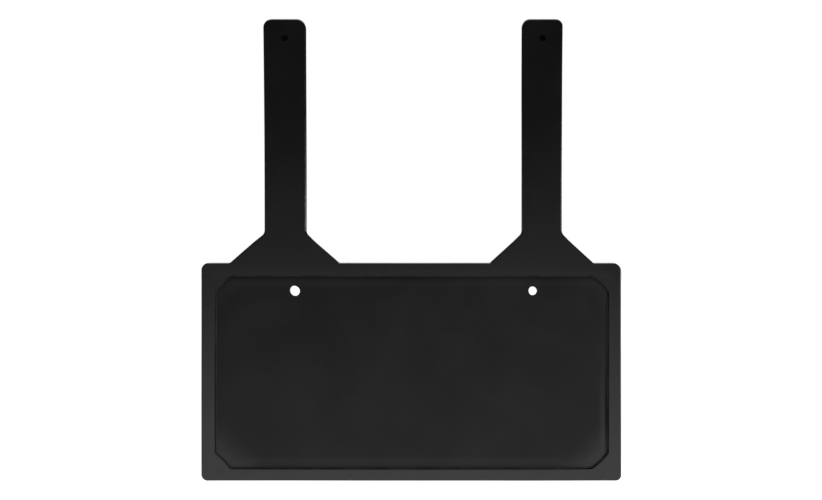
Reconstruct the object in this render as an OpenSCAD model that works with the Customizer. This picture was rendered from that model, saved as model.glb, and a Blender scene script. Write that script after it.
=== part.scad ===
// Rubber number plate holder with two hanging straps, one moulding.
// The plate tucks under a lip that runs round the panel and is bolted through two holes.
// The origin lies midway between the two bolt holes, on the back face.
// +X is to the right seen from the front, +Z is up, and the front faces -Y.

/* [Number plate] */
// Width of the number plate that the holder takes
plate_w = 304.8; // [240:0.1:360]
// Height of the number plate
plate_h = 152.4; // [110:0.1:200]
// Distance between the two bolt holes of the plate
bolt_spacing = 177.8; // [120:0.1:210]
// Depth of the bolt holes below the top edge of the plate
bolt_drop = 15.9; // [14:0.1:24]
// Corner radius of the number plate
plate_r = 12; // [3:0.5:20]
// Play between the edge of the plate and the wall of its slot
plate_play = 0.6; // [0.2:0.1:2]

/* [Panel] */
// Thickness of the moulding
body_t = 6.5; // [5.5:0.1:10]
// Width of the solid wall outside the plate at its left and right edges
wall_side = 3.5; // [2:0.1:8]
// Width of the solid wall outside the plate at its top and bottom edges
wall_end = 4.5; // [2:0.1:8]
// Corner radius of the panel
panel_r = 5; // [2:0.1:12]
// Diameter of the two bolt holes
bolt_hole_d = 7; // [5:0.1:10]

/* [Lip] */
// How far the lip covers the plate at its left and right edges
lip_cover_side = 5.8; // [3:0.1:12]
// How far the lip covers the plate at its top and bottom edges
lip_cover_end = 3.8; // [3:0.1:8]
// Thickness of the lip over the edge of the plate
lip_t = 1.2; // [0.8:0.1:2.5]
// Height of the slot that takes the edge of the plate
slot_h = 1.6; // [1.2:0.1:2.5]
// Length of the slanted corners of the window, along each side
window_cut = 12; // [6:0.1:20]

/* [Pad] */
// Height of the soft pad behind the plate, above the floor of the slot
pad_rise = 0.9; // [0.6:0.1:1.5]
// Width of the rounded shoulder round the pad
shoulder_w = 9; // [5:0.1:14]
// How far the shoulder falls before the pad ends in a low wall
shoulder_drop = 0.6; // [0.2:0.1:0.6]
// Corner radius of the flat top of the pad
pad_r = 10.5; // [6:0.1:20]
// Width of the groove between the pad and the edge of the lip
pad_gap = 0.8; // [0.4:0.1:3]

/* [Straps] */
// Width of each strap
strap_w = 30; // [20:0.5:40]
// Length of each strap above the panel
strap_len = 181.8; // [80:0.1:260]
// Distance of each strap's centre line from the side of the panel
strap_inset = 61; // [55:0.5:75]
// Radius of the corners at the strap's end
strap_end_r = 4.5; // [2:0.1:9]
// Height of the gusset between strap and panel
gusset_h = 22; // [10:0.5:40]
// How far each side of the gusset flares out beyond the strap
gusset_flare = 24.5; // [10:0.5:34]

/* [Drill marks] */
// Diameter of the shallow mark that shows where to drill each strap
mark_d = 5; // [3:0.1:12]
// Depth of the mark
mark_depth = 3; // [0.6:0.1:4]
// Depth of the mark's centre below the strap's end
mark_drop = 14.2; // [8:0.1:30]

/* [Edges] */
// Rounding of the outer edges at the front
edge_r = 1; // [0.4:0.1:1.4]

/* [Hidden] */
$fn = 96;

// How far a cutting shape runs past the surface that it cuts
over = 1;
// How far straps and gussets run into each other and into the panel
root = 3;
// How far the pad's solids go into the floor that they stand on
sink = 0.5;

// The panel is the plate, its play and the wall round it. Heights are measured from the bolt holes.
panel_w = plate_w + 2 * (plate_play + wall_side);
panel_h = plate_h + 2 * (plate_play + wall_end);
panel_top = bolt_drop + plate_play + wall_end;
panel_mid = panel_top - panel_h / 2;

// Levels through the thickness, from the back face
floor_z = body_t - lip_t - slot_h;
lip_z = body_t - lip_t;

window_w = plate_w - 2 * lip_cover_side;
window_h = plate_h - 2 * lip_cover_end;
strap_x = panel_w / 2 - strap_inset;
strap_end = panel_top + strap_len;

panel_size = [panel_w, panel_h];
slot_size = [plate_w + 2 * plate_play, plate_h + 2 * plate_play];

// Each strap also runs down into the panel, where its lower corners are hidden
strap_hidden = strap_end_r + root;
strap_mid = panel_top + (strap_len - strap_hidden) / 2;
strap_size = [strap_w, strap_len + strap_hidden];

// The slanted side of a gusset runs from its foot on the panel to its head on the strap
foot_x = strap_w / 2 + gusset_flare;
head_x = strap_w / 2;
head_y = panel_top + gusset_h;
slant = norm([gusset_flare, gusset_h]);
gusset_depth = gusset_flare * gusset_h / slant + root;

// The flat top of the pad is inside the window by the shoulder and the groove
shoulder_arc_r = (shoulder_w * shoulder_w + shoulder_drop * shoulder_drop) / (2 * shoulder_drop);
pad_inset = shoulder_w + pad_gap;
pad_size = [window_w - 2 * pad_inset, window_h - 2 * pad_inset];

// Centres of the four corner arcs of a rectangle, counter-clockwise from the lower left
function centres(size, mid, r) = [
    for (side = [[-1, -1], [1, -1], [1, 1], [-1, 1]])
        [mid.x + side.x * (size.x / 2 - r), mid.y + side.y * (size.y / 2 - r)]
];

// Rectangle with rounded corners
module rounded(size, mid, r) {
    translate(mid) square([size.x, size.y - 2 * r], center = true);
    translate(mid) square([size.x - 2 * r, size.y], center = true);
    for (c = centres(size, mid, r)) translate(c) circle(r = r);
}

// Straight bar with a section on its right side, seen along the bar
module bar(start, heading, length) {
    translate(start)
        rotate(heading)
            rotate([90, 0, 90])
                linear_extrude(length) mirror([1, 0]) children();
}

// Section swept round a rectangle, its zero on the lines through the corner centres
module swept(size, mid, r) {
    c = centres(size, mid, r);
    for (i = [0:3]) {
        bar(c[i], 90 * i, norm(c[(i + 1) % 4] - c[i])) children();
        translate(c[i]) rotate(180 + 90 * i) rotate_extrude(angle = 90) children();
    }
}

// Section of the moulding's edge: square at the back, rounded at the front
module edge_section(w) {
    square([w, body_t - edge_r]);
    square([w - edge_r, body_t]);
    translate([w - edge_r, body_t - edge_r]) circle(r = edge_r);
}

// Plate with rounded corners and the edge of the moulding all round
module slab(size, mid, r) {
    translate([mid.x, mid.y, body_t / 2])
        cube([size.x - 2 * r, size.y - 2 * r, body_t], center = true);
    swept(size, mid, r) edge_section(r);
}

// Gusset about a strap: two slanted bars that run on into the strap and into the panel
module gusset(x) {
    angle = atan2(gusset_h, gusset_flare);
    reach = root * [gusset_flare, gusset_h] / slant;
    bar([x + foot_x + reach.x, panel_top - reach.y], 180 - angle, slant + 2 * root)
        translate([-gusset_depth, 0]) edge_section(gusset_depth);
    bar([x - head_x + reach.x, head_y + reach.y], 180 + angle, slant + 2 * root)
        translate([-gusset_depth, 0]) edge_section(gusset_depth);
}

// Slab of the panel with its two straps
module body() {
    slab(panel_size, [0, panel_mid], panel_r);
    for (x = [-strap_x, strap_x]) {
        slab(strap_size, [x, strap_mid], strap_end_r);
        gusset(x);
    }
}

// Opening through the lip, with its corners cut off at 45 degrees
module window() {
    x = window_w / 2;
    y = window_h / 2;
    c = window_cut;
    translate([0, panel_mid, lip_z])
        linear_extrude(lip_t + over)
            polygon([
                [c - x, -y], [x - c, -y], [x, c - y], [x, y - c],
                [x - c, y], [c - x, y], [-x, y - c], [-x, c - y]
            ]);
}

// Body with the slot for the edge of the plate and the window through the lip
module frame() {
    difference() {
        body();
        translate([0, 0, floor_z]) linear_extrude(slot_h) rounded(slot_size, [0, panel_mid], plate_r);
        window();
    }
}

// Section across the shoulder of the pad: an arc that leaves the flat top level, and a low wall
// down to the floor of the slot. It goes a little way into the floor.
module shoulder_section() {
    intersection() {
        translate([0, -sink]) square([shoulder_w, pad_rise + sink]);
        translate([0, pad_rise - shoulder_arc_r]) circle(r = shoulder_arc_r);
    }
}

// Soft pad that presses the plate up against the lip
module pad() {
    translate([0, 0, -sink]) linear_extrude(pad_rise + sink) rounded(pad_size, [0, panel_mid], pad_r);
    swept(pad_size, [0, panel_mid], pad_r) translate([pad_r, 0]) shoulder_section();
}

// Two bolt holes for the plate
module bolt_holes() {
    for (side = [-1, 1])
        translate([side * bolt_spacing / 2, 0, -over])
            cylinder(d = bolt_hole_d, h = body_t + 2 * over);
}

// Shallow mark near the end of each strap
module drill_marks() {
    for (side = [-1, 1])
        translate([side * strap_x, strap_end - mark_drop, body_t - mark_depth])
            cylinder(d = mark_d, h = mark_depth + over);
}

// The moulding is drawn lying on its back and then stood up, with its front towards -Y
module holder() {
    color([0.12, 0.12, 0.125])
        rotate([90, 0, 0])
            difference() {
                union() {
                    frame();
                    translate([0, 0, floor_z]) pad();
                }
                bolt_holes();
                drill_marks();
            }
}

holder();
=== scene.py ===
# %% [markdown]
# # Rubber number plate holder
# A flat black moulding hangs from a bumper by two straps. A number plate tucks under a lip that
# runs round its panel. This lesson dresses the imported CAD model: it loads the model, builds one
# detailed mesh that stands for the moulding, gives it its rubber finishes, and lights it.

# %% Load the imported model
import math

import bmesh
import bpy
import numpy as np
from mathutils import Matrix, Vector, noise
from mathutils.geometry import delaunay_2d_cdt


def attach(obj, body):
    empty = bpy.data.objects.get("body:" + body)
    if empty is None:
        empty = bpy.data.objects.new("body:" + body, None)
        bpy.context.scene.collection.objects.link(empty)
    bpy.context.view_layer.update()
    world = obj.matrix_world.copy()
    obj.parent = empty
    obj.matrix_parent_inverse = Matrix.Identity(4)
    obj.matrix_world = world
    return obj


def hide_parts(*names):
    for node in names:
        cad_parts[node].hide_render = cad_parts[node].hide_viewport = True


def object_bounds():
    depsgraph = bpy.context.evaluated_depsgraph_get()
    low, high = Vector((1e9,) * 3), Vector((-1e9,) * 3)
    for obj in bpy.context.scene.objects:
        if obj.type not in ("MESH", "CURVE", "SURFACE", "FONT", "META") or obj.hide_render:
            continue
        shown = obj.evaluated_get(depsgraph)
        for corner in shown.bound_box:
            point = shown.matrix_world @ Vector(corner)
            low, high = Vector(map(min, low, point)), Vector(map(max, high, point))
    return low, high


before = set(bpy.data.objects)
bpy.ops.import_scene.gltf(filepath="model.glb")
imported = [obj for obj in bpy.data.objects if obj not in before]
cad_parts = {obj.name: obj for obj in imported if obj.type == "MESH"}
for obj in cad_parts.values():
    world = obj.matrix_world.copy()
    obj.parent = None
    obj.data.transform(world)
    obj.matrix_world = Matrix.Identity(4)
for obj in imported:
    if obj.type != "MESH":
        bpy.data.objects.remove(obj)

cad_low, cad_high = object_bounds()
MM = 0.001
print("CAD box in mm:", [round(v / MM, 2) for v in cad_low], [round(v / MM, 2) for v in cad_high])

# %% [markdown]
# ## The camera
# The photograph looks straight at the front from about the middle of the object. The picture is
# 822 pixels wide, and one pixel is 0.744 mm on the object, so the view is 612 mm wide there.
# The camera stands 0.7 m away, where a lens of about 41 mm gives that width.

# %% Camera
PICTURE_PX = 822
MM_PER_PX = 0.744
CAMERA_DISTANCE = 0.7
CAMERA_X = -0.2 * MM
CAMERA_Z = 30.6 * MM
SENSOR_MM = 36.0

view_width = PICTURE_PX * MM_PER_PX * MM
camera_data = bpy.data.cameras.new("front_camera")
camera_data.sensor_fit = "HORIZONTAL"
camera_data.sensor_width = SENSOR_MM
camera_data.lens = SENSOR_MM * CAMERA_DISTANCE / view_width
camera = bpy.data.objects.new("front_camera", camera_data)
camera.location = (CAMERA_X, cad_low[1] - CAMERA_DISTANCE, CAMERA_Z)
camera.rotation_euler = (math.radians(90), 0, 0)
bpy.context.scene.collection.objects.link(camera)
bpy.context.scene.camera = camera
print("lens in mm:", round(camera_data.lens, 1))

# %% [markdown]
# ## Measures
# All the lengths of the moulding are named here, in millimetres. They follow the CAD source. The
# drawing plane is (x, z) seen from the front, and depth is given as y, with the back face at 0.
# A pair in round brackets is for the left and the right side.
# The photographed moulding isn't quite even, so a few lengths differ a little from the source:
# its four panel corners, the two ends of the straps and the two bolt holes are each a little
# different, and the inner area lies 0.35 mm lower. The pad reaches closer to the lip than in the
# source, which keeps the dark line round it thin, and it stands 0.25 mm higher.
# The mesh is a little thinner than the CAD solid, which leaves room inside the CAD box for the
# shallow waves of real rubber.

# %% Measures
LEFT, RIGHT = 0, 1

# Panel, with the radii of its upper and lower corners
PANEL_HALF_W, PANEL_TOP, PANEL_BOTTOM = 156.5, 21.0, -141.4
PANEL_MID = (PANEL_TOP + PANEL_BOTTOM) / 2
UPPER_CORNER_R, LOWER_CORNER_R = (5.5, 6.5), (4.7, 4.2)

# Straps and gussets, with the radii at the gusset's head and foot
STRAP_X, STRAP_HALF_W, STRAP_END, STRAP_END_R = 95.5, 15.0, 202.8, (6.3, 5.5)
GUSSET_FLARE, GUSSET_TOP, GUSSET_HEAD_R, GUSSET_FOOT_R = 24.5, 43.0, 5.0, 2.0

# Window in the lip with its slanted corners, and the slot behind the lip
INNER_MID = PANEL_MID - 0.35
WINDOW_HALF_W, WINDOW_HALF_H, WINDOW_CUT, WINDOW_R = 146.75, 72.3, 12.0, 3.0
SLOT_HALF_W, SLOT_HALF_H, SLOT_R = 153.0, 76.8, 12.0

# Flat top of the pad, the shoulder round it, and the steep foot where the shoulder ends
PAD_HALF_W, PAD_HALF_H, PAD_R, PAD_RISE = 137.2, 62.75, 12.0, 1.15
SHOULDER_W, SHOULDER_DROP, SHOULDER_CORNER_R = 9.4, 0.6, 14.0
FOOT_RUN = 0.3

# Bolt holes and drill marks
BOLT_X, BOLT_R = 88.9, (3.8, 3.25)
MARK_Z, MARK_R, MARK_DEPTH = 188.6, 2.5, 3.0

# Depths of the front face, of the lip's underside and of the slot's floor
FRONT_Y, LIP_Y, FLOOR_Y = -6.5, -5.3, -3.7

# Radii of the front edge, the back edge, the lip's two edges, the hole edges and the mark edges
EDGE_R, BACK_EDGE_R, LIP_R, UNDER_R = 1.0, 0.4, 0.3, 0.3
HOLE_EDGE_R, MARK_EDGE_R = 0.3, 0.15

# Chamfer in the inner corners of the slot and the marks
INNER_CHAMFER = 0.15

# Distances between points, along the outlines and the pad's foot and then inside the faces
OUTLINE_SPACING, FOOT_SPACING = 3.0, 1.0
FACE_SPACING, BACK_SPACING, MARK_SPACING = 4.0, 5.0, 1.2

print("panel in mm:", 2 * PANEL_HALF_W, "by", round(PANEL_TOP - PANEL_BOTTOM, 1))

# %% [markdown]
# ## Outlines as points with normals
# Each outline is drawn once as a list of corners with a radius. The helper turns it into points
# and keeps the outward direction at each point. With those directions an outline can be moved
# inwards or outwards by any distance, and that is all that a rounded edge needs: the same
# outline again and again, each time a little further in and a little higher.

# %% Outline helper
ARC_STEP = math.radians(9)


def outline(corners, spacing):
    """Points and outward directions along a closed, counter-clockwise list of (x, z, radius)."""
    arcs = []
    count = len(corners)
    for i, (x, z, radius) in enumerate(corners):
        here = np.array([x, z], float)
        back = np.array(corners[i - 1][:2], float) - here
        ahead = np.array(corners[(i + 1) % count][:2], float) - here
        back /= np.linalg.norm(back)
        ahead /= np.linalg.norm(ahead)
        half = math.acos(float(np.clip(back @ ahead, -1, 1))) / 2
        middle = back + ahead
        centre = here + middle / np.linalg.norm(middle) * radius / math.sin(half)
        turn = 1 if back[0] * ahead[1] - back[1] * ahead[0] < 0 else -1
        start = here + back * radius / math.tan(half) - centre
        sweep = (math.pi - 2 * half) * turn
        steps = max(2, math.ceil(abs(sweep) / ARC_STEP))
        arc = []
        for k in range(steps + 1):
            a = sweep * k / steps
            turned = np.array([
                start[0] * math.cos(a) - start[1] * math.sin(a),
                start[0] * math.sin(a) + start[1] * math.cos(a),
            ])
            arc.append((centre + turned, turned / radius * turn))
        arcs.append(arc)
    spots, outward = [], []
    for i, arc in enumerate(arcs):
        spots += [p for p, n in arc]
        outward += [n for p, n in arc]
        here, there = arc[-1][0], arcs[(i + 1) % count][0][0]
        pieces = max(1, round(float(np.linalg.norm(there - here)) / spacing))
        for k in range(1, pieces):
            spots.append(here + (there - here) * k / pieces)
            outward.append(arc[-1][1])
    return np.array(spots), np.array(outward)


# %% Shapes
def rectangle(half_w, half_h, radius):
    """Corners of a rectangle about the middle of the inner area."""
    return [
        (-half_w, INNER_MID - half_h, radius), (half_w, INNER_MID - half_h, radius),
        (half_w, INNER_MID + half_h, radius), (-half_w, INNER_MID + half_h, radius),
    ]


def slanted_rectangle(half_w, half_h, cut, radius):
    """Corners of a rectangle about the same middle, with its own corners cut off at 45 degrees."""
    w, h = half_w - cut, half_h - cut
    return [(x, INNER_MID + z, radius) for x, z in (
        (-w, -half_h), (w, -half_h), (half_w, -h), (half_w, h),
        (w, half_h), (-w, half_h), (-half_w, h), (-half_w, -h))]


def strap(end_r):
    """Corners of the right strap with its gusset, from the outer foot to the inner one."""
    inner, outer = STRAP_X - STRAP_HALF_W, STRAP_X + STRAP_HALF_W
    return [
        (outer + GUSSET_FLARE, PANEL_TOP, GUSSET_FOOT_R), (outer, GUSSET_TOP, GUSSET_HEAD_R),
        (outer, STRAP_END, end_r), (inner, STRAP_END, end_r),
        (inner, GUSSET_TOP, GUSSET_HEAD_R), (inner - GUSSET_FLARE, PANEL_TOP, GUSSET_FOOT_R),
    ]


def circle(x, z, radius, count):
    """Points and outward directions of a circle, counter-clockwise."""
    a = np.arange(count) * 2 * math.pi / count
    around = np.stack([np.cos(a), np.sin(a)], axis=1)
    return np.array([x, z]) + around * radius, around


def as_hole(shape):
    """The same outline as the edge of a hole, where outward means into the hole."""
    spots, outward = shape
    return spots, -outward


# %% The outlines of the moulding
right_strap = strap(STRAP_END_R[RIGHT])
left_strap = [(-x, z, r) for x, z, r in reversed(strap(STRAP_END_R[LEFT]))]
body_outline = outline(
    [(-PANEL_HALF_W, PANEL_BOTTOM, LOWER_CORNER_R[LEFT]),
     (PANEL_HALF_W, PANEL_BOTTOM, LOWER_CORNER_R[RIGHT]),
     (PANEL_HALF_W, PANEL_TOP, UPPER_CORNER_R[RIGHT])]
    + right_strap + left_strap + [(-PANEL_HALF_W, PANEL_TOP, UPPER_CORNER_R[LEFT])],
    OUTLINE_SPACING,
)
window_hole = as_hole(outline(
    slanted_rectangle(WINDOW_HALF_W, WINDOW_HALF_H, WINDOW_CUT, WINDOW_R), OUTLINE_SPACING))
slot_hole = as_hole(outline(rectangle(SLOT_HALF_W, SLOT_HALF_H, SLOT_R), OUTLINE_SPACING))
print("points of the outlines of the body, window and slot:",
      [len(shape[0]) for shape in (body_outline, window_hole, slot_hole)])

# %% [markdown]
# ## Building surfaces that share their points
# The moulding is one closed skin. Its walls and rounded edges are strips between copies of an
# outline. Its large faces are filled with triangles between an outline, the holes in it, and a
# grid of free points inside it. A boolean would give the same shape, but it leaves long thin
# faces that shade badly on satin rubber. Here every point also gets its true normal, so flat
# faces stay calm and rounded edges stay round.

# %% Rings, strips and profiles
skin_points, skin_normals, skin_faces, face_finish = [], [], [], []

# Numbers of the finishes, in the order in which the mesh holds their materials
# The third finish is painted light: a pale grey that lifts the shade in the groove
SATIN, MATTE, GROOVE_PAINTED_LIGHT, HOLLOW = 0, 1, 2, 3

# Slopes in degrees: away from the solid, towards the front and towards the back
SIDE, FRONT, BACK = 0, 90, -90


def add_ring(shape, inset, y, slope, base=None):
    """Adds an outline moved into the solid by inset, at depth y. Where base(x, z) gives the depth
    of a surface, y is counted from there. Returns the numbers of the new points."""
    first = len(skin_points)
    c, s = math.cos(math.radians(slope)), math.sin(math.radians(slope))
    for p, n in zip(*shape):
        q = p - n * inset
        skin_points.append((q[0], y + (base(q[0], q[1]) if base else 0.0), q[1]))
        skin_normals.append((n[0] * c, -s, n[1] * c))
    return np.arange(first, len(skin_points))


def add_strip(a, b, finish):
    """Joins two rings of the same length with quads."""
    for i in range(len(a)):
        j = (i + 1) % len(a)
        skin_faces.append((a[i], a[j], b[j], b[i]))
        face_finish.append(finish)


def add_profile(shape, profile, finish, base=None):
    """Rings along a profile of (inset, y, slope), joined. Returns the first and the last ring."""
    rings = [add_ring(shape, *row, base=base) for row in profile]
    for a, b in zip(rings, rings[1:]):
        add_strip(a, b, finish)
    return rings[0], rings[-1]


def quarter(inset, y, radius, from_slope, to_slope, steps):
    """Rows of a profile round an arc about the point (inset, y)."""
    rows = []
    for k in range(steps + 1):
        slope = from_slope + (to_slope - from_slope) * k / steps
        a = math.radians(slope)
        rows.append((inset - radius * math.cos(a), y - radius * math.sin(a), slope))
    return rows


# %% Filling a face
# How close a free point may come to a line, as a share of the grid's spacing, and how close a
# point of a line may come to a hole, in millimetres
GRID_CLEARANCE, HOLE_CLEARANCE = 0.55, 0.35

# Points closer than this are one point, in millimetres
MERGE_DISTANCE = 1e-6

# Which way a face looks
TO_FRONT, TO_BACK = 1, -1


def inside(test, polygon):
    """Which of the test points lie inside a closed polygon."""
    x, z = test[:, 0], test[:, 1]
    found = np.zeros(len(test), bool)
    for (x1, z1), (x2, z2) in zip(polygon, np.roll(polygon, -1, axis=0)):
        if z1 == z2:
            continue
        crosses = (z1 > z) != (z2 > z)
        found ^= crosses & (x < (x2 - x1) * (z - z1) / (z2 - z1) + x1)
    return found


def away_from(test, polygon, distance):
    """Which of the test points lie at least a distance away from a closed polygon."""
    keep = np.ones(len(test), bool)
    for a, b in zip(polygon, np.roll(polygon, -1, axis=0)):
        run = b - a
        t = np.clip(((test - a) @ run) / (run @ run), 0, 1)
        keep &= np.linalg.norm(test - (a + t[:, None] * run), axis=1) > distance
    return keep


def free_points(loops, lines, spacing):
    """A grid of points in staggered rows inside the first loop, clear of the others."""
    low, high = loops[0].min(axis=0), loops[0].max(axis=0)
    rows = []
    for r, z in enumerate(np.arange(low[1], high[1], spacing * math.sqrt(3) / 2)):
        for x in np.arange(low[0] + (r % 2) * spacing / 2, high[0], spacing):
            rows.append((x, z))
    grid = np.array(rows)
    grid = grid[inside(grid, loops[0])]
    for loop in loops[1:]:
        grid = grid[~inside(grid, loop)]
    for loop in loops + list(lines):
        grid = grid[away_from(grid, loop, spacing * GRID_CLEARANCE)]
    return grid


def flat_at(y):
    """The height function of a flat face."""
    return lambda x, z: (y, 0.0, 0.0)


def fill(outer, holes, spacing, height, facing, finish, lines=()):
    """Fills a face between rings with triangles. height(x, z) gives depth and its slopes along x
    and z. Lines are closed loops of extra points that the face's shape needs."""
    ring_ids = [outer] + list(holes)
    loops = [np.array([[skin_points[i][0], skin_points[i][2]] for i in ids]) for ids in ring_ids]
    extra = np.concatenate([np.empty((0, 2))] + list(lines))
    for loop in loops[1:]:
        extra = extra[~inside(extra, loop) & away_from(extra, loop, HOLE_CLEARANCE)]
    flat = np.concatenate(loops + [extra, free_points(loops, lines, spacing)])
    edges, start = [], 0
    for loop in loops:
        n = len(loop)
        edges += [(start + i, start + (i + 1) % n) for i in range(n)]
        start += n
    out_points, _, out_faces, source, _, _ = delaunay_2d_cdt(
        [Vector(p) for p in flat], edges, [], 0, MERGE_DISTANCE)
    known = np.concatenate(ring_ids)
    ids = []
    for k, p in enumerate(out_points):
        before = source[k][0] if source[k] else None
        if before is not None and before < len(known):
            ids.append(known[before])
            continue
        y, slope_x, slope_z = height(p[0], p[1])
        n = np.array([slope_x, -1.0, slope_z]) * facing
        skin_points.append((p[0], y, p[1]))
        skin_normals.append(tuple(n / np.linalg.norm(n)))
        ids.append(len(skin_points) - 1)
    middles = np.array([np.mean([out_points[i] for i in f], axis=0) for f in out_faces])
    keep = inside(middles, loops[0])
    for loop in loops[1:]:
        keep &= ~inside(middles, loop)
    for f, wanted in zip(out_faces, keep):
        if wanted:
            skin_faces.append(tuple(ids[i] for i in f))
            face_finish.append(finish)


# %% [markdown]
# ## The walls, the lip and the faces
# The outer wall runs from the back edge to the front edge, both rounded. The lip is followed from
# the front, over its edge, and back along its underside to the wall of the slot, because that
# dark gap is what draws the thin line round the panel in the photograph. Behind the lip the floor
# of the slot runs on into the soft pad, whose rounded shoulder catches the light in a pale band.
# The pad's corners grow rounder on the way down and end under the slanted corners of the lip, so
# the gap is about as wide there. The foot of the pad and the slot are painted a pale grey, which
# is painted light that lifts the shade in the gap, because the gap's shade alone would draw too
# black a line.

# %% Outer wall
back_ring, front_ring = add_profile(
    body_outline,
    quarter(BACK_EDGE_R, -BACK_EDGE_R, BACK_EDGE_R, BACK, SIDE, steps=3)
    + [(0.0, FRONT_Y / 2, SIDE)]
    + quarter(EDGE_R, FRONT_Y + EDGE_R, EDGE_R, SIDE, FRONT, steps=6),
    SATIN,
)
print("faces of the outer wall:", len(skin_faces))

# %% Lip and slot
lip_front, lip_edge = add_profile(
    window_hole, quarter(LIP_R, FRONT_Y + LIP_R, LIP_R, FRONT, SIDE, steps=5), MATTE)
under_edge, lip_under = add_profile(
    window_hole, quarter(UNDER_R, LIP_Y - UNDER_R, UNDER_R, SIDE, BACK, steps=3), MATTE)
add_strip(lip_edge, under_edge, MATTE)
# The slot's walls and floor get the groove's painted light, a pale grey that lifts their shade
slot_top, slot_floor = add_profile(
    slot_hole,
    [(-INNER_CHAMFER, LIP_Y, BACK), (0.0, LIP_Y + INNER_CHAMFER, SIDE),
     (0.0, FLOOR_Y - INNER_CHAMFER, SIDE), (-INNER_CHAMFER, FLOOR_Y, FRONT)],
    GROOVE_PAINTED_LIGHT,
)
fill(slot_top, [lip_under], FACE_SPACING, flat_at(LIP_Y), TO_BACK, GROOVE_PAINTED_LIGHT)
print("faces with the lip and the slot:", len(skin_faces))

# %% Shape of the pad
# Radius of the shoulder's arc, and how much rounder its corners grow with each millimetre
SHOULDER_ARC_R = (SHOULDER_W ** 2 + SHOULDER_DROP ** 2) / (2 * SHOULDER_DROP)
CORNER_GROWTH = (SHOULDER_CORNER_R - PAD_R) / SHOULDER_W

# Distance over which slopes are measured, in millimetres
SLOPE_STEP = 0.02


def outside_rectangle(x, z, half_w, half_h, radius):
    """Distance outside a rounded rectangle about the inner area's middle, and its direction."""
    qx, qz = abs(x) - (half_w - radius), abs(z - INNER_MID) - (half_h - radius)
    sx, sz = math.copysign(1, x), math.copysign(1, z - INNER_MID)
    if qx > 0 and qz > 0:
        reach = math.hypot(qx, qz)
        return reach - radius, sx * qx / reach, sz * qz / reach
    if qx > qz:
        return qx - radius, sx, 0.0
    return qz - radius, 0.0, sz


def shoulder_reach(x, z):
    """How far out on the shoulder a point lies. Below 0 it lies on the flat top of the pad."""
    a, b = abs(x) - PAD_HALF_W + PAD_R, abs(z - INNER_MID) - PAD_HALF_H + PAD_R
    reach, keep = max(a, b) - PAD_R, 1 - CORNER_GROWTH
    if min(a, b) <= keep * reach:
        return reach
    square = 2 * keep ** 2 - CORNER_GROWTH ** 2
    half = keep * (a + b) + CORNER_GROWTH * PAD_R
    return (half - math.sqrt(half ** 2 - square * (a * a + b * b - PAD_R ** 2))) / square


def smooth(t):
    """A soft step from 0 at t = 0 to 1 at t = 1."""
    t = min(1.0, max(0.0, t))
    return t * t * (3 - 2 * t)


def pad_depth(x, z):
    """Depth of the floor and pad at a point."""
    reach = shoulder_reach(x, z)
    if reach <= 0:
        return FLOOR_Y - PAD_RISE
    if reach > SHOULDER_W:
        foot = 1 - smooth((reach - SHOULDER_W) / FOOT_RUN)
        return FLOOR_Y - (PAD_RISE - SHOULDER_DROP) * foot
    return FLOOR_Y - PAD_RISE + SHOULDER_ARC_R - math.sqrt(SHOULDER_ARC_R ** 2 - reach ** 2)


def pad_height(x, z):
    """Depth of the floor and pad at a point, with its slopes."""
    d = SLOPE_STEP
    slope_x = (pad_depth(x + d, z) - pad_depth(x - d, z)) / (2 * d)
    slope_z = (pad_depth(x, z + d) - pad_depth(x, z - d)) / (2 * d)
    return pad_depth(x, z), slope_x, slope_z


print("pad above the floor in mm:", PAD_RISE, "and at the end of its shoulder:",
      round(PAD_RISE - SHOULDER_DROP, 2))

# %% Bolt holes
BOLT_POINTS = 40
bolt_fronts, bolt_backs = [], []
for sign, radius in zip((-1, 1), BOLT_R):
    hole = as_hole(circle(sign * BOLT_X, 0.0, radius, BOLT_POINTS))
    front_edge = quarter(HOLE_EDGE_R, HOLE_EDGE_R, HOLE_EDGE_R, FRONT, SIDE, steps=4)
    back_edge = quarter(HOLE_EDGE_R, -HOLE_EDGE_R, HOLE_EDGE_R, SIDE, BACK, steps=4)
    front_first, front_last = add_profile(hole, front_edge, MATTE, base=pad_depth)
    back_first, back_last = add_profile(hole, back_edge, MATTE)
    add_strip(front_last, back_first, MATTE)
    bolt_fronts.append(front_first)
    bolt_backs.append(back_last)
print("bolt holes in mm:", [2 * radius for radius in BOLT_R])

# %% Pad
# Width of the strip of painted light along the pad's foot: a pale grey that lifts its shade
PAINTED_LIGHT_REACH = 0.7

# How far outside the pad's flat top the lines of extra points lie
SHOULDER_STEPS = (0.0, 1.5, 3.0, 4.5, 6.0, 7.5)
FOOT_STEPS = (SHOULDER_W - PAINTED_LIGHT_REACH, SHOULDER_W, SHOULDER_W + FOOT_RUN / 3,
              SHOULDER_W + FOOT_RUN * 2 / 3, SHOULDER_W + FOOT_RUN)


def pad_line(reach, spacing):
    """Points on the shoulder or foot, that far outside the flat top of the pad."""
    corner_r = PAD_R + CORNER_GROWTH * reach
    return outline(rectangle(PAD_HALF_W + reach, PAD_HALF_H + reach, corner_r), spacing)[0]


pad_lines = [pad_line(reach, OUTLINE_SPACING) for reach in SHOULDER_STEPS]
pad_lines += [pad_line(reach, FOOT_SPACING) for reach in FOOT_STEPS]
first_pad_face = len(skin_faces)
fill(slot_floor, bolt_fronts, FACE_SPACING, pad_height, TO_FRONT, MATTE, pad_lines)
# Faces at the pad's foot get the groove's painted light, a pale grey that lifts their shade
for i in range(first_pad_face, len(skin_faces)):
    x, _, z = np.mean([skin_points[k] for k in skin_faces[i]], axis=0)
    if shoulder_reach(x, z) > SHOULDER_W - PAINTED_LIGHT_REACH:
        face_finish[i] = GROOVE_PAINTED_LIGHT
print("faces of the dusty groove:", face_finish.count(GROOVE_PAINTED_LIGHT))

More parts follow.
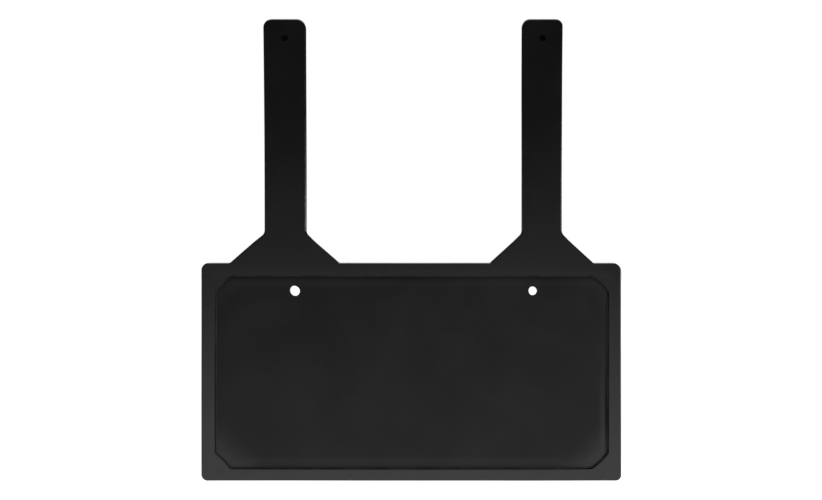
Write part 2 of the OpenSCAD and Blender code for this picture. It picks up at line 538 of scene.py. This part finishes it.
# %% Drill marks, front face and back face
MARK_POINTS = 28
mark_floor = FRONT_Y + MARK_DEPTH
mark_fronts = []
for sign in (-1, 1):
    first, last = add_profile(
        as_hole(circle(sign * STRAP_X, MARK_Z, MARK_R, MARK_POINTS)),
        quarter(MARK_EDGE_R, FRONT_Y + MARK_EDGE_R, MARK_EDGE_R, FRONT, SIDE, steps=3)
        + [(0.0, mark_floor - INNER_CHAMFER, SIDE), (-INNER_CHAMFER, mark_floor, FRONT)],
        HOLLOW,
    )
    mark_fronts.append(first)
    fill(last, [], MARK_SPACING, flat_at(mark_floor), TO_FRONT, HOLLOW)
fill(front_ring, [lip_front] + mark_fronts, FACE_SPACING, flat_at(FRONT_Y), TO_FRONT, SATIN)
fill(back_ring, bolt_backs, BACK_SPACING, flat_at(0.0), TO_BACK, SATIN)
print("skin:", len(skin_points), "points,", len(skin_faces), "faces")

# %% [markdown]
# ## Real rubber is never quite flat
# The whole skin is bent by one smooth function. It gives the sheet shallow waves, lets the thin
# lip sag a little where the slot is behind it, and makes the pad slightly uneven. The edge of the
# pad is pressed in at the bottom and on the right, where the pale band is wider in the
# photograph. It stands higher at the top and in the corners, where the dark line is thinner.
# The same function moves the straps, the gussets and the inner area sideways by up to 2 mm, as
# measured in the photograph, while the outer edge of the panel stays in place. Each point's
# normal is turned with the surface, so the waves shade as true shapes.

# %% How much the skin bends
# Share of the thickness that is left, and how far the outline is drawn in on each side
THICKNESS_SHARE, DRAWN_IN = 0.955, 0.084

# Waves of the sheet, of its outline and of the pad, and the lengths over which they change
WAVE, WAVE_LENGTH = 0.13, 85.0
EDGE_WAVE, EDGE_WAVE_LENGTH = 0.07, 60.0
PAD_WAVE, PAD_WAVE_LENGTH = 0.17, 38.0

# The lip's sag, the run from the slot's wall over which it grows, and the range of depth that
# tells the lip from the floor
LIP_SAG, SAG_RUN, LIP_BLEND = 0.08, 6.0, 0.3

# The floor and the pad lie in front of this depth, with a soft change
FLOOR_FROM, FLOOR_BLEND = -3.0, 0.5

# How far the pad's edge is pressed in or raised, where that ends beyond the flat top, and the
# height over which the press on the right fades upwards
PRESS_RIGHT, PRESS_BOTTOM = 0.65, 0.6
LIFT_UPPER_CORNERS, LIFT_LOWER_CORNERS = 0.5, 0.25
PRESS_END, PRESS_FADE, PRESS_RIGHT_BLEND = 13.0, 3.0, 60.0

# The inner area's shift sideways, how far inside the slot's wall it starts, and its soft run
INNER_SHIFT, INNER_START, INNER_RUN = 2.0, 1.5, 16.0

# The straps' shift, how much wider or narrower they are for each millimetre of width, and how
# far their ends lean and widen
STRAP_SHIFT, STRAP_WIDER = (1.6, 1.95), (0.03, -0.015)
STRAP_LEAN, LEAN_WIDER = (-0.8, 0.4), 0.02

# The gussets' own shift, how far each is squeezed, and the run beside the strap where it grows
GUSSET_SHIFT, GUSSET_SQUEEZE, GUSSET_RUN = (-0.65, -0.1), (0.05, 0.5), 8.0

# How far from a strap its shift reaches, sideways and down into the panel
STRAP_REACH, STRAP_REACH_RUN, STRAP_ROOT = 50.0, 10.0, 8.0

MIDDLE_Y, MIDDLE_Z = FRONT_Y / 2, (STRAP_END + PANEL_BOTTOM) / 2
HALF_HEIGHT = (STRAP_END - PANEL_BOTTOM) / 2
print("waves in mm:", WAVE, EDGE_WAVE, PAD_WAVE)


# %% The bending function
# Distance in the noise between two seeds, and a gain that brings it to about -1 to 1
SEED_STEP, NOISE_GAIN = 7.31, 1.4


def wave(x, z, length, seed):
    """A smooth random height between about -1 and 1."""
    return noise.noise(Vector((x / length, z / length, seed * SEED_STEP))) * NOISE_GAIN


def pad_shift(x, z):
    """How far the pad is pressed in at a point."""
    reach = shoulder_reach(x, z)
    _, out_x, out_z = outside_rectangle(x, z, PAD_HALF_W, PAD_HALF_H, PAD_R)
    uneven = smooth((SHOULDER_W - reach) / SHOULDER_W) * wave(x, z, PAD_WAVE_LENGTH, 2)
    low = smooth((PANEL_MID + PRESS_RIGHT_BLEND / 2 - z) / PRESS_RIGHT_BLEND)
    press = PRESS_RIGHT * low * max(0.0, out_x) ** 2 - PRESS_BOTTOM * out_z * abs(out_z)
    press -= LIFT_UPPER_CORNERS * max(0.0, out_z) * abs(out_x) * 2
    press -= LIFT_LOWER_CORNERS * max(0.0, -out_z) * abs(out_x) * 2
    on_edge = smooth(reach / SHOULDER_W) * smooth((PRESS_END - reach) / PRESS_FADE)
    return PAD_WAVE * uneven + on_edge * press


def strap_shift(x, z):
    """How far a point of a strap or gusset moves to the right."""
    across = x - math.copysign(STRAP_X, x)
    near = smooth((z - PANEL_TOP + STRAP_ROOT) / STRAP_ROOT)
    near *= smooth((STRAP_REACH - abs(across)) / STRAP_REACH_RUN)
    if near == 0:
        return 0.0
    side = LEFT if x < 0 else RIGHT
    flare = smooth((abs(across) - STRAP_HALF_W) / GUSSET_RUN)
    shift = STRAP_SHIFT[side] + across * STRAP_WIDER[side]
    shift += flare * (GUSSET_SHIFT[side] - math.copysign(GUSSET_SQUEEZE[side], across))
    up = max(0.0, (z - GUSSET_TOP) / (STRAP_END - GUSSET_TOP)) ** 2
    return near * shift + up * (STRAP_LEAN[side] + across * LEAN_WIDER)


def bent(p):
    """Where a point of the flat skin goes."""
    x, y, z = p
    slot = outside_rectangle(x, z, SLOT_HALF_W, SLOT_HALF_H, SLOT_R)[0]
    lip = smooth((LIP_Y + LIP_BLEND - y) / LIP_BLEND)
    on_floor = smooth((FLOOR_FROM - y) / FLOOR_BLEND) * (1 - lip)
    shift_y = WAVE * wave(x, z, WAVE_LENGTH, 1)
    shift_y += LIP_SAG * lip * smooth(-slot / SAG_RUN)
    shift_y += on_floor * pad_shift(x, z)
    shift_x = EDGE_WAVE * wave(x, z, EDGE_WAVE_LENGTH, 3)
    shift_x += INNER_SHIFT * smooth((-slot - INNER_START) / INNER_RUN)
    shift_x += strap_shift(x, z)
    shift_z = EDGE_WAVE * wave(x, z, EDGE_WAVE_LENGTH, 4)
    return np.array([
        x * (1 - DRAWN_IN / PANEL_HALF_W) + shift_x,
        MIDDLE_Y + (y - MIDDLE_Y) * THICKNESS_SHARE + shift_y,
        MIDDLE_Z + (z - MIDDLE_Z) * (1 - DRAWN_IN / HALF_HEIGHT) + shift_z,
    ])


# %% Bend the skin
# Distance over which the stretch at a point is measured, in millimetres
BEND_STEP = 0.05
bent_points, bent_normals = [], []
for p, n in zip(skin_points, skin_normals):
    p = np.array(p, float)
    stretch = np.stack(
        [(bent(p + d) - bent(p - d)) / (2 * BEND_STEP) for d in np.eye(3) * BEND_STEP], axis=1)
    turned = np.linalg.solve(stretch.T, np.array(n, float))
    bent_points.append(bent(p))
    bent_normals.append(turned / np.linalg.norm(turned))
bent_points = np.array(bent_points)
print("bent skin in mm:", bent_points.min(axis=0).round(2), bent_points.max(axis=0).round(2))

# %% Make the mesh
mesh = bpy.data.meshes.new("holder_moulding")
mesh.from_pydata((bent_points * MM).tolist(), [], [tuple(int(i) for i in f) for f in skin_faces])
bm = bmesh.new()
bm.from_mesh(mesh)
bmesh.ops.recalc_face_normals(bm, faces=bm.faces)
open_edges = sum(1 for e in bm.edges if len(e.link_faces) != 2)
print("open edges:", open_edges, "volume in mm3:", round(bm.calc_volume() / MM ** 3))
bm.to_mesh(mesh)
bm.free()
mesh.polygons.foreach_set("material_index", np.array(face_finish, np.int32))
mesh.polygons.foreach_set("use_smooth", np.ones(len(mesh.polygons), bool))
mesh.normals_split_custom_set_from_vertices([tuple(n) for n in bent_normals])
moulding = bpy.data.objects.new("holder_moulding", mesh)
bpy.context.scene.collection.objects.link(moulding)
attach(moulding, "root")
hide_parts("holder")

# %% [markdown]
# ## Rubber finishes
# The frame and the straps have a satin skin that the smooth steel of the mould gave them. The pad
# is matte, with a fine grain, and so is the edge of the lip. The groove is painted a pale grey,
# which is painted light that lifts its shade, and the drill marks are rough and dull. All four
# finishes share four effects, and each effect is a node group that is built once: the fine grain,
# the slow clouds in tone and gloss, the greyer outer edges, which are partly rub and partly a
# painted highlight, and painted light that makes the pad paler towards its two lower corners. On
# those edges and in those corners the black turns a little greyer.

# %% Node helpers
def add_node(tree, kind, **settings):
    """A new node with its settings."""
    node = tree.nodes.new(kind)
    for name, value in settings.items():
        setattr(node, name, value)
    return node


def feed(tree, socket, value):
    """Gives a socket a number, a colour (r, g, b), or the result of another node."""
    if isinstance(value, (int, float)):
        socket.default_value = value
    elif isinstance(value, tuple):
        socket.default_value = (*value, 1)
    else:
        tree.links.new(value, socket)


def math_node(tree, operation, *values):
    """A Math node, with a socket or a number for each of its inputs."""
    node = add_node(tree, "ShaderNodeMath", operation=operation)
    for socket, value in zip(node.inputs, values):
        feed(tree, socket, value)
    return node.outputs[0]


def noise_node(tree, vector, scale, detail, rough=0.5):
    """A Noise Texture node."""
    node = add_node(tree, "ShaderNodeTexNoise")
    for label, value in (("Vector", vector), ("Scale", scale), ("Detail", detail),
                         ("Roughness", rough)):
        feed(tree, node.inputs[label], value)
    return node.outputs["Fac"]


def map_range(tree, value, start, end, low=0.0, high=1.0, shape="LINEAR"):
    """A Map Range node that turns the range from start to end into the one from low to high."""
    node = add_node(tree, "ShaderNodeMapRange", interpolation_type=shape)
    for label, given in (("Value", value), ("From Min", start), ("From Max", end),
                         ("To Min", low), ("To Max", high)):
        feed(tree, node.inputs[label], given)
    return node.outputs["Result"]


def mix_colours(tree, factor, first, second):
    """A Mix node for two colours."""
    node = add_node(tree, "ShaderNodeMix", data_type="RGBA")
    feed(tree, node.inputs[0], factor)
    for socket, value in zip([s for s in node.inputs if s.type == "RGBA"], (first, second)):
        feed(tree, socket, value)
    return next(s for s in node.outputs if s.type == "RGBA")


def new_effect(name, settings, result):
    """A node group that takes a place and some numbers, with defaults, and gives one number.
    Returns the group, the outputs of its input node and the socket for its result."""
    group = bpy.data.node_groups.new(name, "ShaderNodeTree")
    group.interface.new_socket("Vector", in_out="INPUT", socket_type="NodeSocketVector")
    for label, value in settings.items():
        socket = group.interface.new_socket(label, in_out="INPUT", socket_type="NodeSocketFloat")
        socket.default_value = value
    group.interface.new_socket(result, in_out="OUTPUT", socket_type="NodeSocketFloat")
    given = group.nodes.new("NodeGroupInput").outputs
    return group, given, group.nodes.new("NodeGroupOutput").inputs[0]


def use_effect(tree, effect, place, **settings):
    """The result of a shared effect inside a material."""
    node = add_node(tree, "ShaderNodeGroup", node_tree=effect)
    feed(tree, node.inputs["Vector"], place)
    for label, value in settings.items():
        feed(tree, node.inputs[label], value)
    return node.outputs[0]


# %% Shared effect: grain
COARSE_SCALE, COARSE_SHARE = 0.3, 0.6
grain, given, result = new_effect("Rubber grain", {"Scale": 1500.0}, "Height")
fine = noise_node(grain, given["Vector"], given["Scale"], detail=3.0, rough=0.6)
coarse_scale = math_node(grain, "MULTIPLY", given["Scale"], COARSE_SCALE)
coarse = noise_node(grain, given["Vector"], coarse_scale, detail=2.0)
weaker = math_node(grain, "MULTIPLY", coarse, COARSE_SHARE)
feed(grain, result, math_node(grain, "ADD", fine, weaker))
print("grain:", len(grain.nodes), "nodes")

# %% Shared effect: clouds
CLOUD_FROM, CLOUD_TO = 0.3, 0.7
clouds, given, result = new_effect(
    "Rubber clouds", {"Scale": 20.0, "Low": 0.9, "High": 1.1}, "Factor")
slow = noise_node(clouds, given["Vector"], given["Scale"], detail=3.0, rough=0.55)
feed(clouds, result, map_range(
    clouds, slow, CLOUD_FROM, CLOUD_TO, given["Low"], given["High"], "SMOOTHSTEP"))
print("clouds:", len(clouds.nodes), "nodes")

# %% Shared effect: edge rub and painted highlight
# Pointiness is 0.5 on a flat face and more on an outer edge
RUB_SHEEN_FROM, RUB_SHEEN_FULL, RUB_SHEEN_PATCH_SCALE = 0.53, 0.62, 120.0
# Outer edges turn greyer, partly from rub and partly as a painted highlight where they catch the
# light
rub_and_sheen, given, result = new_effect("Edge rub and sheen", {"Amount": 0.5}, "Mask")
pointiness = add_node(rub_and_sheen, "ShaderNodeNewGeometry").outputs["Pointiness"]
patches = noise_node(rub_and_sheen, given["Vector"], RUB_SHEEN_PATCH_SCALE, detail=3.0)
patchy = math_node(rub_and_sheen, "MULTIPLY", map_range(rub_and_sheen, pointiness, RUB_SHEEN_FROM, RUB_SHEEN_FULL), patches)
feed(rub_and_sheen, result, math_node(rub_and_sheen, "MULTIPLY", patchy, given["Amount"]))
print("edge rub:", len(rub_and_sheen.nodes), "nodes")

# %% Shared effect: painted light in the two lower corners
# Values of |x| - z in metres, which grows towards the two lower corners, where the painted light
# starts and where it is full
CORNER_LIGHT_FROM, CORNER_LIGHT_FULL = 0.236, 0.270

# Scale of the patches, and the even share that is added to them
CORNER_LIGHT_PATCH_SCALE, CORNER_LIGHT_EVEN = 180.0, 0.5
# Painted light: the pad turns a paler grey towards its two lower corners
corner_light, given, result = new_effect("Corner painted light", {"Amount": 1.0}, "Mask")
split = add_node(corner_light, "ShaderNodeSeparateXYZ")
feed(corner_light, split.inputs[0], given["Vector"])
sideways = math_node(corner_light, "ABSOLUTE", split.outputs["X"])
cornerwise = math_node(corner_light, "SUBTRACT", sideways, split.outputs["Z"])
corner = map_range(corner_light, cornerwise, CORNER_LIGHT_FROM, CORNER_LIGHT_FULL, shape="SMOOTHSTEP")
patches = noise_node(corner_light, given["Vector"], CORNER_LIGHT_PATCH_SCALE, detail=3.0)
patches = math_node(corner_light, "ADD", patches, CORNER_LIGHT_EVEN)
patchy = math_node(corner_light, "MULTIPLY", corner, patches)
feed(corner_light, result, math_node(corner_light, "MULTIPLY", patchy, given["Amount"]))
print("settled dust:", len(corner_light.nodes), "nodes")


# %% Rubber material
# The first grey is for the outer edges, partly rub and partly a painted highlight; the second is
# painted light towards the pad's lower corners
RUB_AND_SHEEN_COLOUR, CORNER_LIGHT_COLOUR = (0.02, 0.02, 0.0205), (0.04, 0.04, 0.039)
RUBBER_IOR = 1.5

# The clouds in the gloss are this much finer than those in the tone, and change the roughness by
# this share of it
GLOSS_CLOUD_SCALE, GLOSS_CHANGE = 2.3, 0.07


def rubber(name, dark, light, roughness, specular, grain_scale, grain_depth, cloud_scale,
           rub_and_sheen_amount, corner_light_amount=0.0):
    """A rubber finish from the shared effects, around one Principled BSDF."""
    material = bpy.data.materials.new(name)
    material.use_nodes = True
    tree = material.node_tree
    tree.nodes.clear()
    place = add_node(tree, "ShaderNodeTexCoord").outputs["Object"]

    tone = use_effect(tree, clouds, place, Scale=cloud_scale, Low=0.0, High=1.0)
    colour = mix_colours(tree, tone, dark, light)
    # Outer edges turn greyer, partly from rub and partly as a painted highlight
    colour = mix_colours(tree, use_effect(tree, rub_and_sheen, place, Amount=rub_and_sheen_amount), colour, RUB_AND_SHEEN_COLOUR)
    # Painted light: a paler grey towards the pad's two lower corners
    colour = mix_colours(tree, use_effect(tree, corner_light, place, Amount=corner_light_amount), colour, CORNER_LIGHT_COLOUR)
    gloss = use_effect(tree, clouds, place, Scale=cloud_scale * GLOSS_CLOUD_SCALE,
                       Low=roughness * (1 - GLOSS_CHANGE), High=roughness * (1 + GLOSS_CHANGE))
    bump = add_node(tree, "ShaderNodeBump")
    bump.inputs["Strength"].default_value = 1.0
    bump.inputs["Distance"].default_value = grain_depth
    feed(tree, bump.inputs["Height"], use_effect(tree, grain, place, Scale=grain_scale))

    shader = add_node(tree, "ShaderNodeBsdfPrincipled")
    shader.inputs["IOR"].default_value = RUBBER_IOR
    shader.inputs["Specular IOR Level"].default_value = specular
    feed(tree, shader.inputs["Base Color"], colour)
    feed(tree, shader.inputs["Roughness"], gloss)
    feed(tree, shader.inputs["Normal"], bump.outputs["Normal"])
    output = add_node(tree, "ShaderNodeOutputMaterial")
    feed(tree, output.inputs["Surface"], shader.outputs["BSDF"])
    return material


# %% The four finishes
# Their order is the order of the numbers SATIN, MATTE, GROOVE_PAINTED_LIGHT and HOLLOW
finishes = (
    rubber("satin_rubber", dark=(0.0016, 0.0016, 0.0017), light=(0.0024, 0.0024, 0.0025),
           roughness=0.24, specular=0.45, grain_scale=1400.0, grain_depth=0.0015 * MM,
           cloud_scale=16.0, rub_and_sheen_amount=0.3),
    # The matte pad is painted paler towards its two lower corners, which is painted light
    rubber("matte_rubber", dark=(0.0014, 0.0014, 0.0015), light=(0.0038, 0.0038, 0.0039),
           roughness=0.38, specular=0.22, grain_scale=1700.0, grain_depth=0.007 * MM,
           cloud_scale=22.0, rub_and_sheen_amount=0.2, corner_light_amount=0.42),
    # Painted light: a pale grey in the groove that lifts its shade
    rubber("groove_painted_light", dark=(0.027, 0.027, 0.027), light=(0.048, 0.048, 0.047),
           roughness=0.7, specular=0.2, grain_scale=1700.0, grain_depth=0.007 * MM,
           cloud_scale=60.0, rub_and_sheen_amount=0.2),
    rubber("rough_hollow", dark=(0.004, 0.004, 0.004), light=(0.008, 0.008, 0.008),
           roughness=0.85, specular=0.06, grain_scale=1700.0, grain_depth=0.007 * MM,
           cloud_scale=60.0, rub_and_sheen_amount=0.2),
)
for finish in finishes:
    moulding.data.materials.append(finish)
print("finishes:", [finish.name for finish in finishes])

# %% [markdown]
# ## Floor, light and background
# The holder hangs a little above a pale floor. The floor is what the satin front reflects from
# below, so the lower rim is the brightest part and the straps fade to black at their ends. A wide
# soft lamp overhead lights the floor and the upper edges. A weaker one stands to the right, with a
# narrow beam, and lights the right side of the pad's shoulder.
# The floor glows for the camera, more with the distance, so it is as white as the background and
# still keeps the shadow under the holder. In reflections it glows evenly and weakly. The room is
# dark above the horizon, which keeps the black rubber black.

# %% Floor
# Distance below the holder and half the floor's side, in metres
FLOOR_GAP, FLOOR_HALF = 0.11, 8.0

floor_z = PANEL_BOTTOM * MM - FLOOR_GAP
floor_mesh = bpy.data.meshes.new("studio_floor")
floor_mesh.from_pydata(
    [(x * FLOOR_HALF, y * FLOOR_HALF, floor_z) for x, y in ((-1, -1), (1, -1), (1, 1), (-1, 1))],
    [], [(0, 1, 2, 3)])
floor = bpy.data.objects.new("studio_floor", floor_mesh)
bpy.context.scene.collection.objects.link(floor)
print("floor at z in mm:", round(floor_z / MM, 1))

# %% Floor paint
FLOOR_COLOUR = (0.86, 0.86, 0.86)

# Distances from the middle between which the glow for the camera grows, and its two strengths
GLOW_NEAR, GLOW_FAR, GLOW_WEAK, GLOW_FULL = 0.5, 2.5, 0.4, 1.0

# Strength of the glow in reflections
GLOW_IN_GLOSS = 0.35


def ray_masks(tree):
    """Two masks: rays from the camera, also through clear things, and rays in reflections."""
    path = add_node(tree, "ShaderNodeLightPath").outputs
    direct = math_node(tree, "MAXIMUM", path["Is Camera Ray"], path["Is Transmission Ray"])
    return direct, path["Is Glossy Ray"]


def pale_floor():
    """Pale matte paint that also glows."""
    paint = bpy.data.materials.new("pale_floor")
    paint.use_nodes = True
    tree = paint.node_tree
    tree.nodes.clear()
    diffuse = add_node(tree, "ShaderNodeBsdfDiffuse")
    feed(tree, diffuse.inputs["Color"], FLOOR_COLOUR)
    distance = add_node(tree, "ShaderNodeVectorMath", operation="LENGTH")
    feed(tree, distance.inputs[0], add_node(tree, "ShaderNodeTexCoord").outputs["Object"])
    growing = map_range(
        tree, distance.outputs["Value"], GLOW_NEAR, GLOW_FAR, GLOW_WEAK, GLOW_FULL)
    direct, glossy = ray_masks(tree)
    for_camera = math_node(tree, "MULTIPLY", growing, direct)
    for_gloss = math_node(tree, "MULTIPLY", glossy, GLOW_IN_GLOSS)
    glow = add_node(tree, "ShaderNodeEmission")
    feed(tree, glow.inputs["Strength"], math_node(tree, "MAXIMUM", for_camera, for_gloss))
    both = add_node(tree, "ShaderNodeAddShader")
    feed(tree, both.inputs[0], diffuse.outputs[0])
    feed(tree, both.inputs[1], glow.outputs[0])
    output = add_node(tree, "ShaderNodeOutputMaterial")
    feed(tree, output.inputs["Surface"], both.outputs[0])
    return paint


floor_mesh.materials.append(pale_floor())
print("glow of the floor for the camera:", GLOW_WEAK, "to", GLOW_FULL)


# %% Lamps
def soft_lamp(name, place, aim, size, watts, beam=180):
    """A soft lamp that points at a spot. The beam's angle is in degrees."""
    data = bpy.data.lights.new(name, "AREA")
    data.shape = "RECTANGLE"
    data.size, data.size_y = size
    data.energy = watts
    data.spread = math.radians(beam)
    lamp = bpy.data.objects.new(name, data)
    lamp.location = place
    lamp.rotation_euler = (Vector(aim) - Vector(place)).to_track_quat("-Z", "Y").to_euler()
    bpy.context.scene.collection.objects.link(lamp)
    print(name, "shines with", watts, "W")


soft_lamp("overhead_soft", place=(0, -0.35, 1.2), aim=(0, -0.35, 0), size=(1.2, 1.2), watts=27.0)
soft_lamp("right_soft", place=(1.15, -0.65, -0.05), aim=(0.15, 0, -0.08), size=(0.6, 0.5),
          watts=0.95, beam=45)

# %% World
# Grey of the room by height, where 0 is straight down, 0.5 the horizon and 1 straight up
ROOM = ((0.5, 0.22), (0.55, 0.08), (0.6, 0.025), (0.8, 0.025), (0.95, 0.4))


def studio_world():
    """White for the camera, and in reflections a dark room with the floor's glow below it."""
    world = bpy.data.worlds.new("studio")
    world.use_nodes = True
    tree = world.node_tree
    tree.nodes.clear()
    split = add_node(tree, "ShaderNodeSeparateXYZ")
    feed(tree, split.inputs[0], add_node(tree, "ShaderNodeTexCoord").outputs["Generated"])
    up = split.outputs["Z"]
    ramp = add_node(tree, "ShaderNodeValToRGB")
    ramp.color_ramp.interpolation = "EASE"
    stops = ramp.color_ramp.elements
    for i, (height, grey) in enumerate(ROOM):
        stop = stops[i] if i < len(stops) else stops.new(height)
        stop.position = height
        stop.color = (grey, grey, grey, 1)
    feed(tree, ramp.inputs["Fac"], math_node(tree, "MULTIPLY_ADD", up, 0.5, 0.5))
    room = add_node(tree, "ShaderNodeBackground")
    feed(tree, room.inputs["Color"], ramp.outputs["Color"])
    white = add_node(tree, "ShaderNodeBackground")
    feed(tree, white.inputs["Color"], (1, 1, 1))
    direct, glossy = ray_masks(tree)
    from_below = math_node(tree, "MULTIPLY", glossy, math_node(tree, "LESS_THAN", up, 0.0))
    floor_glow = math_node(tree, "MULTIPLY", from_below, GLOW_IN_GLOSS)
    mix = add_node(tree, "ShaderNodeMixShader")
    feed(tree, mix.inputs["Fac"], math_node(tree, "MAXIMUM", direct, floor_glow))
    feed(tree, mix.inputs[1], room.outputs[0])
    feed(tree, mix.inputs[2], white.outputs[0])
    output = add_node(tree, "ShaderNodeOutputWorld")
    feed(tree, output.inputs["Surface"], mix.outputs[0])
    return world


bpy.context.scene.world = studio_world()
bpy.context.scene.view_settings.view_transform = "Standard"
print("room greys by height:", ROOM)
